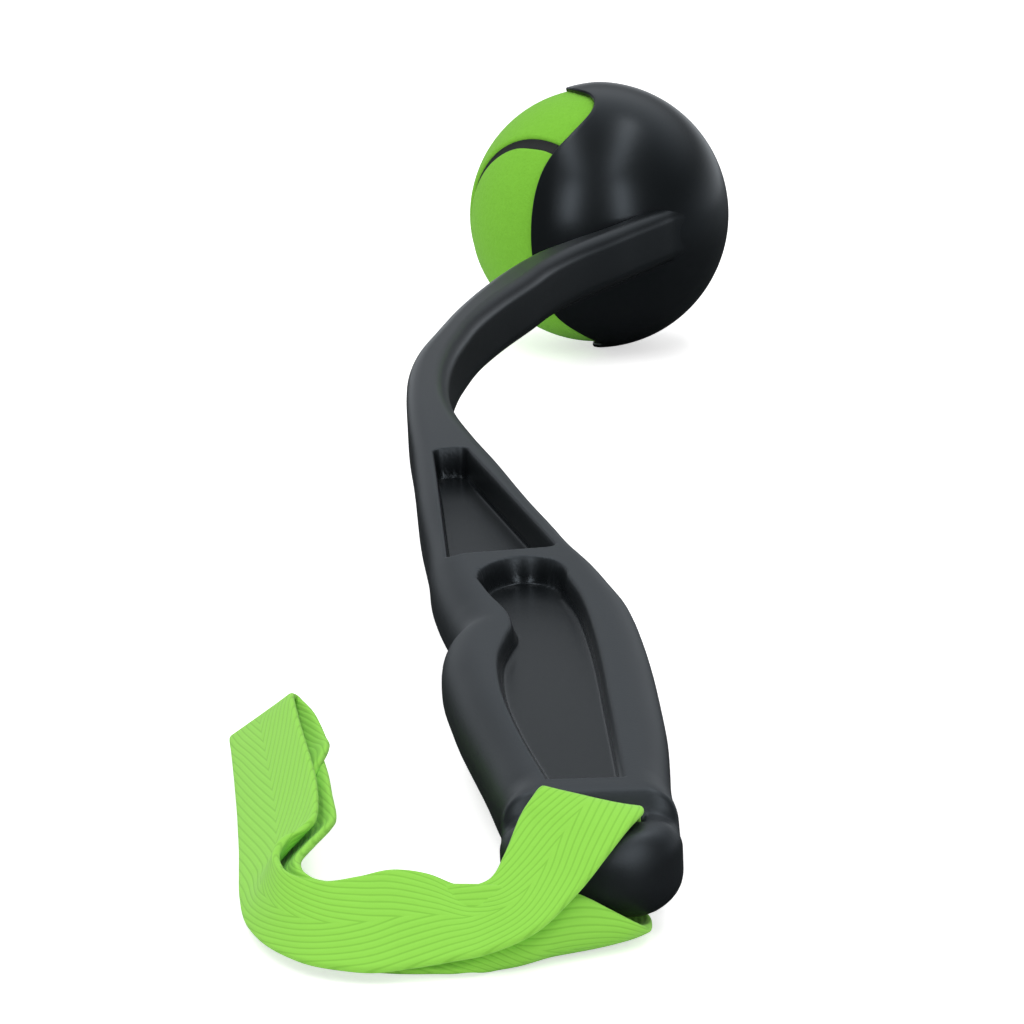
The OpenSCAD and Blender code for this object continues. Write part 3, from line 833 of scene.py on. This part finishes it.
@dataclass
class WristStrap:
    """The webbing loop: from under the lap to the slot, over the butt, round the loop and back onto the lap."""

    rest: Rest
    width: float = 15.0
    thickness: float = 1.2
    butt_t: float = 12.4
    tacks: tuple[float, float] = (0.6, 1.4)
    tack_width: float = 11.0
    tack_length: float = 1.8
    thread: float = 0.18
    belly_start: int = 12
    # How far the middle of the webbing bellies out between its edges, row by row from belly_start.
    bellies: tuple[tuple[float, float, float], ...] = (
        (0, 0, 0), (0.2, -1.3, -1), (0.8, -3.2, -2.3), (1.5, -4.2, -2.3), (1.9, -3.4, -1.7), (1.6, -2.4, -1.1),
        (0.8, -1.2, -0.7), (0.3, -0.3, -0.5), (0, 0, 0))

    def edges(self) -> Array:
        """Rows of the webbing's two edges, from the slot and the floor: across, along and height of each.

        The line is that of the solid's ribbon: from under the lap to the slot, over the end bar, round the loop and
        back onto the lap. Under the butt the cloth is turned half over and curls up before the end bar.
        """
        slot = self.rest.slot_height
        top = slot + self.butt_t / 2
        return np.array([
            (-53.4, 47.5, 0.75, -42, 46.4, 9), (-51.9, 36, 0.75, -40.3, 35, 10),
            (-50.8, 26.5, 0.75, -39, 25.5, 10), (-50, 17.5, 0.75, -37.7, 16.3, 10),
            (-49.7, 12.5, 0.75, -37.9, 11.8, 10), (-49, 5, 0.75, -39.8, 4.9, 9.8),
            (-47.9, -2, 0.75, -41.4, -0.8, 9.5), (-46, -9, 0.75, -41.2, -4.7, 9.4),
            (-43, -15, 0.75, -40, -7.4, 9.2), (-38.5, -19.5, 0.75, -37.7, -9.6, 9),
            (-32.5, -22.3, 0.75, -32, -11.6, 9.2), (-27, -23.4, 0.75, -25.5, -12.2, 9.5),
            (-21.5, -23.4, 0.75, -18.5, -13.2, 10), (-16.6, -22.8, 0.75, -12, -14.4, 10.4),
            (-12.2, -19, 0.75, -6.4, -14.4, 10.2), (-9, -12.6, 0.75, -1.8, -13.6, 8.9),
            (-5.6, -9.2, 0.75, 2.6, -12.9, 6.4), (-3.4, -7, 0.8, 6, -12.2, 4.4),
            (-2, -5.5, 0.9, 8.1, -9.6, 2.6), (-4.6, -5, 1.2, 8.5, -4.6, 1.9), (-7.9, -1.1, 2.8, 7.1, -1.1, 3),
            (-8.1, -0.8, slot - 0.3, 6.9, -0.8, slot + 0.3), (-8.1, -0.9, top - 0.3, 6.9, -0.9, top + 0.3),
            (-7.4, -0.7, 19.8, 7.2, -4.1, 17.5), (-8.9, -2.6, 18.5, 5, -8.6, 16.6),
            (-10.3, -4.5, 16.5, 2.1, -12.5, 14), (-12.2, -9.7, 13, -1.7, -16.5, 10.3),
            (-14.3, -13.1, 10.5, -7.2, -22, 6.6), (-18.6, -12.5, 9.5, -13.6, -23.7, 4),
            (-23.1, -12.2, 11.1, -19.1, -24.4, 2.9), (-27.8, -12.5, 11.7, -24.5, -25.3, 2.2),
            (-32.1, -13.1, 10.9, -29.6, -26.2, 1.9), (-36.6, -13.3, 10.2, -34.7, -25.2, 1.9),
            (-40.6, -11.1, 10, -39, -23.2, 1.9), (-43.2, -7.7, 10, -42.8, -19.5, 1.9),
            (-44.6, -3, 10.1, -45.6, -15.4, 1.9), (-44.7, 1.1, 10.3, -47.8, -10.4, 1.9),
            (-43.7, 5.1, 10.6, -49.1, -5.7, 1.9), (-41.8, 7.3, 10.9, -50.1, 0, 1.9),
            (-40.3, 10.2, 11.3, -50.8, 4.9, 1.9), (-40.3, 15.9, 11.5, -51.6, 12.5, 1.9),
            (-41.2, 25.1, 11.7, -52.5, 21.2, 1.9), (-42.4, 33, 11.8, -53.6, 30.4, 1.9),
            (-43.7, 40.4, 11.9, -54.7, 39.5, 1.9), (-46.2, 54.2, 11.9, -57.1, 57.6, 1.9),
            (-48.4, 67.7, 11.9, -58.6, 68.5, 1.9), (-48.6, 72.2, 11.2, -59.8, 77.6, 1.7),
            (-47.4, 72.5, 10.2, -57.6, 75.2, 0.95), (-44.8, 65.7, 10, -56.4, 66.5, 0.9),
            (-42.2, 54.1, 10, -54.6, 55.5, 0.9), (-41.1, 46.4, 10.6, -54.2, 48, 1.75),
            (-42.4, 35, 9.8, -52.7, 36, 1.75), (-42.1, 25.5, 9.1, -51.6, 26.5, 1.75)])

    def surface(self, at: Array, across: Array) -> Array:
        """Points of the webbing's middle surface: straight from edge to edge, bellied by a parabola where it curls.

        Args:
            at: Places along the route, one step for each row.
            across: Places across, from -1 at the first edge to 1 at the second.
        Returns:
            Points in the row frame in millimetres, places along by places across.
        """
        rows = self.edges()
        belly = np.zeros((len(rows), 3))
        belly[self.belly_start:self.belly_start + len(self.bellies)] = self.bellies
        values = route_curve(np.concatenate([rows, belly], 1), at)[:, None]
        slot, a = self.rest.slot_place(), across[None, :, None]
        first, second = values[..., :3], values[..., 3:6]
        straight = (first * (1 - a) + second * (1 + a)) / 2
        return straight + values[..., 6:] * (1 - a**2) + [slot[0], slot[1], self.rest.floor]

    def lay_out(self, at: Array, across: Array) -> tuple[Array, Array, Array, Array]:
        """Points of the middle surface, and unit vectors along, across and out of it there."""
        last, step, part = len(self.edges()) - 1, 0.02, 0.01
        along = unit(self.surface(np.minimum(at + step, last), across) - self.surface(np.maximum(at - step, 0), across))
        width = unit(self.surface(at, across + part) - self.surface(at, across - part))
        return self.surface(at, across), along, width, unit(np.cross(along, width))

    def ribbon(self, steps: int = 9, across: int = 30) -> tuple[Array, Array, Array, Array, float]:
        """The webbing as a closed skin: a flat profile with round edges carried along the route.

        Args:
            steps: Rows for each row of the route.
            across: Points across each face.
        Returns:
            Points in metres, quads, triangles, the weave's coordinates and the length in millimetres.
        """
        last = len(self.edges()) - 1
        at = np.linspace(0, last, last * steps + 1)
        e, half = self.thickness / 2, self.width / 2
        face = np.linspace(half - e, e - half, across)
        b = np.linspace(math.pi / 2, 3 * math.pi / 2, 7)[1:-1]
        w = np.concatenate([face, e - half + e * np.cos(b), -face, half - e - e * np.cos(b)])
        n = np.concatenate([np.full(across, e), e * np.sin(b), np.full(across, -e), -e * np.sin(b)])
        points, _, _, out = self.lay_out(at, w / half)
        middle = self.surface(at, np.zeros(1))[:, 0]
        run = np.concatenate([[0], np.cumsum(np.linalg.norm(np.diff(middle, axis=0), axis=1))])
        rings = points + out * n[None, :, None]
        weave = np.stack(np.broadcast_arrays(w[None], run[:, None], n[None]), -1).reshape(-1, 3)
        weave = np.concatenate([weave, [[0, 0, 0], [0, run[-1], 0]]])
        points, quads, triangles = skin(rings, middle[[0, -1]], reverse=True)
        return points * MM, quads, triangles, weave, float(run[-1])

    def stitches(self, turns: int = 16, sides: int = 8) -> tuple[Array, Array, Array]:
        """Bar tacks under the lap: for each, a thread that zigzags across the webbing, as a round profile on a path.

        Args:
            turns: Stitches across each tack.
            sides: Points round the thread.
        Returns:
            Points in metres, quads and triangles.
        """
        parts = []
        for number, at in enumerate(self.tacks):
            point, along, width, out = (v[0, 0] for v in self.lay_out(np.array([at]), np.zeros(1)))
            k = np.linspace(0, 1, turns * 6 + 1)
            swing = 2 / math.pi * np.arcsin(np.sin(math.pi * turns * k) * 0.985)
            path = (point - out * (self.thickness / 2 + self.thread * 0.7)
                    + np.outer((k - 0.5) * self.tack_width, width) + np.outer(swing * self.tack_length / 2, along))
            ahead = unit(np.gradient(path, axis=0))
            side = unit(np.cross(ahead, out))
            a = np.linspace(0, 2 * math.pi, sides, endpoint=False)
            round_it = side[:, None] * np.cos(a)[None, :, None] + out * np.sin(a)[None, :, None]
            points, quads, triangles = skin(path[:, None] + self.thread * round_it, path[[0, -1]])
            parts.append((points * MM, quads + number * len(points), triangles + number * len(points)))
        points, quads, triangles = (np.concatenate(p) for p in zip(*parts))
        return points, quads, triangles

    def build(self, webbing: bpy.types.Material, thread: bpy.types.Material) -> bpy.types.Object:
        """The webbing and its stitching."""
        points, quads, triangles, weave, length = self.ribbon()
        strap = make_piece("wrist_strap_webbing", points, quads, triangles, {"weave": weave})
        hand_over(strap, Body.LAUNCHER, webbing, "wrist_strap")
        points, quads, triangles = self.stitches()
        tacks = make_piece("strap_bar_tacks", points, quads, triangles)
        hand_over(tacks, Body.LAUNCHER, thread, "strap_stitching")
        return strap


@dataclass
class TennisBall:
    """The felt ball: two panels of one shape, turned against each other, and the rubber seam between them."""

    rest: Rest
    radius: float = 32.75
    felt: float = 3.0
    seam_width: float = 3.0
    seam_drop: float = 0.7
    seam_turn: float = math.radians(231)
    felt_round: float = 1.1
    seam_hollow: float = 0.15

    @property
    def edge(self) -> float:
        """Angle from a panel's middle line to its edge."""
        return math.atan((self.radius - self.seam_width / 2) / (self.radius + self.seam_width / 2))

    def place(self, points: Array) -> Array:
        """Points of the ball's own frame as row-frame points in metres."""
        c, s = math.cos(self.seam_turn), math.sin(self.seam_turn)
        return self.rest.place(points @ np.array([[c, -s, 0], [s, c, 0], [0, 0, 1]]).T)

    def panel(self, rows: int = 121, half_columns: int = 41) -> tuple[Array, Array, Array]:
        """One felt panel as a closed skin.

        The panel's middle line runs over the top of the ball from end to end. Its half width is a fixed angle over
        the top; past the middle of the ball it closes on a circle about the end. The felt rounds down to the seam
        at its edge, and the underside lies on the core.

        Args:
            rows: Rows along the middle line.
            half_columns: Points across each side.
        Returns:
            Points in the ball's frame, quads and triangles.
        """
        end = math.pi / 2 + self.edge
        run = -end * np.cos(np.linspace(0, math.pi, rows + 2)[1:-1])
        past = np.abs(run) > math.pi / 2
        half = np.where(past, np.arccos(np.clip(math.cos(self.edge) / np.abs(np.sin(run)), -1, 1)), self.edge)
        v = np.sin(np.linspace(-math.pi / 2, math.pi / 2, half_columns))
        wide = half[:, None] * v[None]
        gap = np.minimum((half[:, None] - np.abs(wide)), np.maximum(end - np.abs(run), 0)[:, None]) * self.radius
        top, low = self.radius - round_over(self.felt_round, self.felt_round - gap), self.radius - self.felt
        under = np.full_like(top, low)
        both = np.concatenate([top, under[:, ::-1]], 1)
        lat = np.concatenate([wide, wide[:, ::-1]], 1)
        lon = run[:, None]
        rings = both[..., None] * np.stack([np.sin(lat), np.cos(lat) * np.sin(lon), np.cos(lat) * np.cos(lon)], -1)
        tips = low * np.array([[0, math.sin(-end), math.cos(end)], [0, math.sin(end), math.cos(end)]])
        return skin(rings, tips)

    def seam(self, steps: int = 60, across: int = 9) -> tuple[Array, Array]:
        """The rubber seam as a closed band along four half circles, each 45 degrees round its own axis.

        Above the ball's middle the half circles lie round X and below it round Y. Across the band the angle from
        the axis grows above and shrinks below, so the bands meet edge to edge. Its face is slightly hollow.

        Args:
            steps: Rows for each half circle.
            across: Points across the face.
        Returns:
            Points in the ball's frame and quads.
        """
        half = math.pi / 4 - self.edge
        t = np.linspace(-1, 1, across)
        shift = np.concatenate([t, t[::-1]]) * half
        high = self.radius - self.seam_drop - self.seam_hollow * (1 - t**2)
        radius = np.concatenate([high, np.full(across, self.radius - self.felt)])
        a = np.linspace(0, math.pi, steps, endpoint=False)[:, None]
        wide, narrow = math.pi / 4 + shift, math.pi / 4 - shift
        zero = np.zeros_like(a)
        parts = [(np.cos(wide) + zero, np.sin(wide) * np.cos(a), np.sin(wide) * np.sin(a)),
                 (np.sin(narrow) * np.cos(a), -np.cos(narrow) + zero, -np.sin(narrow) * np.sin(a)),
                 (-np.cos(wide) + zero, -np.sin(wide) * np.cos(a), np.sin(wide) * np.sin(a)),
                 (-np.sin(narrow) * np.cos(a), np.cos(narrow) + zero, -np.sin(narrow) * np.sin(a))]
        rings = radius[:, None] * np.concatenate([np.stack(p, -1) for p in parts])
        rows, ring = rings.shape[:2]
        return rings.reshape(-1, 3), grid_quads(rows, ring, wrap_rows=True, wrap_columns=True)

    def build(self, felt: bpy.types.Material, seam: bpy.types.Material, core: bpy.types.Material) -> None:
        """The two panels and the seam, which stand for their CAD nodes, and the hidden core's finish."""
        points, quads, triangles = self.panel()
        other = points @ np.array([[0, 1, 0], [1, 0, 0], [0, 0, -1]]).T
        for side, half in (("near", points), ("far", other)):
            panel = make_piece(f"felt_{side}", self.place(half), quads, triangles)
            hand_over(panel, Body.BALL, felt, f"felt_panel_{side}")
        points, quads = self.seam()
        band = make_piece("rubber_seam", self.place(points), quads)
        hand_over(band, Body.BALL, seam, "ball_seam")
        for name in ("ball_core_front", "ball_core_back"):
            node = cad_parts[name]
            node.data.materials.clear()
            node.data.materials.append(core)
            LOG.info("%s: finish only", name)


@dataclass(frozen=True)
class Studio:
    """A pale floor, soft boxes overhead and behind the camera, and the camera low behind the butt."""

    rest: Rest
    picture_px: int = 1024
    sensor_mm: float = 36.0
    focal_px: float = 3467.66
    place: tuple[float, float, float] = (0.002077, -0.893240, 0.140670)
    right: tuple[float, float, float] = (0.999635, 0.026987, 0.001504)
    down: tuple[float, float, float] = (0.007919, -0.239248, -0.970926)
    ahead: tuple[float, float, float] = (-0.025843, 0.970583, -0.239375)
    floor_colour: str = "#F4F4F4"
    floor_glow: float = 0.6
    floor_in_gloss: str = "#323537"
    right_in_gloss: str = "#70767A"
    right_from: tuple[float, float] = (0.06, 0.3)
    room_in_gloss: str = "#F3F9FF"
    box_power: float = 3.1
    bank_power: float = 3.9
    fill_power: float = 0.5
    room: float = 0.7
    front_to_back: tuple[float, float] = (-0.35, 0.9)
    room_shades: tuple[float, float] = (0.025, 0.78)
    gap_height: float = 0.34
    gap_half: float = 0.3
    gap_shades: tuple[float, float] = (0.15, 1.4)

    def camera(self) -> None:
        """The camera for a square picture."""
        data = bpy.data.cameras.new("camera")
        data.sensor_width = self.sensor_mm
        data.lens = self.sensor_mm * self.focal_px / self.picture_px
        data.clip_start, data.clip_end = 0.05, 50.0
        cam = bpy.data.objects.new("camera", data)
        axes = np.array([self.right, [-v for v in self.down], [-v for v in self.ahead]])
        turn = Matrix(axes.T.tolist()).to_4x4()
        cam.matrix_world = Matrix.Translation(self.place) @ turn
        bpy.context.scene.collection.objects.link(cam)
        bpy.context.scene.camera = cam

    def floor(self) -> None:
        """A wide pale floor that shows white to the camera where no shadow falls."""
        side = np.linspace(-4, 4, 5)
        x, y = np.meshgrid(side, side, indexing="ij")
        points = np.stack([x, y, np.full_like(x, self.rest.floor * MM)], -1).reshape(-1, 3)
        plane = make_piece("floor", points, grid_quads(5, 5))
        material, tree, shader = new_material("pale_floor")
        seen = add_node(tree, "ShaderNodeLightPath").outputs
        across = axes(tree, add_node(tree, "ShaderNodeTexCoord").outputs["Object"])["X"]
        right = fade(tree, across, self.right_from, kind="SMOOTHSTEP")
        shown = blend_colour(tree, right, self.floor_in_gloss, self.right_in_gloss)
        set_inputs(tree, shader, {
            "Base Color": blend_colour(tree, seen["Is Glossy Ray"], self.floor_colour, shown),
            "Roughness": 0.9, "Specular IOR Level": 0.1, "Emission Color": linear("#FFFFFF"),
            "Emission Strength": calculate(tree, "MULTIPLY", seen["Is Camera Ray"], self.floor_glow)})
        plane.data.materials.append(material)

    def lamp(self, name: str, place: tuple[float, float, float], size: tuple[float, float], power: float,
             tip: float = 0.0, swing: float = 0.0) -> bpy.types.Object:
        """One soft box.

        Args:
            name: Its name.
            place: Its place, in metres.
            size: Its width and length, in metres.
            power: Its power, in watts.
            tip: How far it is tipped from facing straight down, away from the camera, in radians.
            swing: How far it is then swung round the vertical, in radians.
        Returns:
            The lamp.
        """
        data = bpy.data.lights.new(name, "AREA")
        data.shape = "RECTANGLE"
        data.size, data.size_y = size
        data.energy = power
        lamp = bpy.data.objects.new(name, data)
        lamp.location = place
        lamp.rotation_euler = (tip, 0, swing)
        bpy.context.scene.collection.objects.link(lamp)
        return lamp

    def light(self) -> None:
        """The soft boxes and the room: dark behind the camera and pale behind the launcher, as gloss shows it."""
        for name, x in (("left_box", -0.40), ("right_box", 0.36)):
            self.lamp(name, (x, -0.4, 1.0), (0.2, 1.3), self.box_power)
        for name, x, y in (("left_bank", -0.53, -1.26), ("right_bank", 0.54, -1.25)):
            bank = self.lamp(name, (x, y, 0.5), (0.26, 0.9), self.bank_power, math.radians(75), math.atan2(x, -y))
            bank.visible_diffuse = False
        fill = self.lamp("front_fill", (-0.2, -1.7, 0.6), (1.0, 0.7), self.fill_power, math.radians(65))
        fill.visible_glossy = False
        world = bpy.data.worlds.new("room")
        bpy.context.scene.world = world
        world.use_nodes = True
        tree = world.node_tree
        tree.nodes.clear()
        seen = add_node(tree, "ShaderNodeLightPath").outputs
        way = axes(tree, add_node(tree, "ShaderNodeTexCoord").outputs["Generated"])
        shade = fade(tree, way["Y"], self.front_to_back, self.room_shades, "SMOOTHSTEP")
        # A dim gap lies between the pale backdrop and the pale ceiling, a third of the way up.
        apart = calculate(tree, "ABSOLUTE", calculate(tree, "SUBTRACT", way["Z"], self.gap_height))
        gloss = calculate(tree, "MULTIPLY", shade, fade(tree, apart, (0.0, self.gap_half), self.gap_shades))
        level = blend(tree, seen["Is Camera Ray"], blend(tree, seen["Is Glossy Ray"], self.room, gloss), 1.0)
        tone = blend_colour(tree, seen["Is Glossy Ray"], "#FFFFFF", self.room_in_gloss)
        back = add_node(tree, "ShaderNodeBackground", inputs={"Color": tone, "Strength": level})
        add_node(tree, "ShaderNodeOutputWorld", inputs={"Surface": back.outputs["Background"]})
        bpy.context.scene.view_settings.view_transform = "Standard"


def main() -> None:
    """Builds the studio and every piece in order."""
    logging.basicConfig(level=logging.INFO, format="%(name)s: %(message)s")
    rest = Rest()
    studio = Studio(rest)
    studio.camera()
    WristStrap(rest).build(HerringboneWebbing().material(), SewingThread().material())
    Moulding(rest).build(MouldedPlastic().material())
    TennisBall(rest).build(Felt().material(), Rubber("seam_rubber", "#15171A", "#1E2123").material(),
                           Rubber("core_rubber", "#3E3A38", "#4A4644").material())
    studio.floor()
    studio.light()


if __name__ == "__main__":
    main()
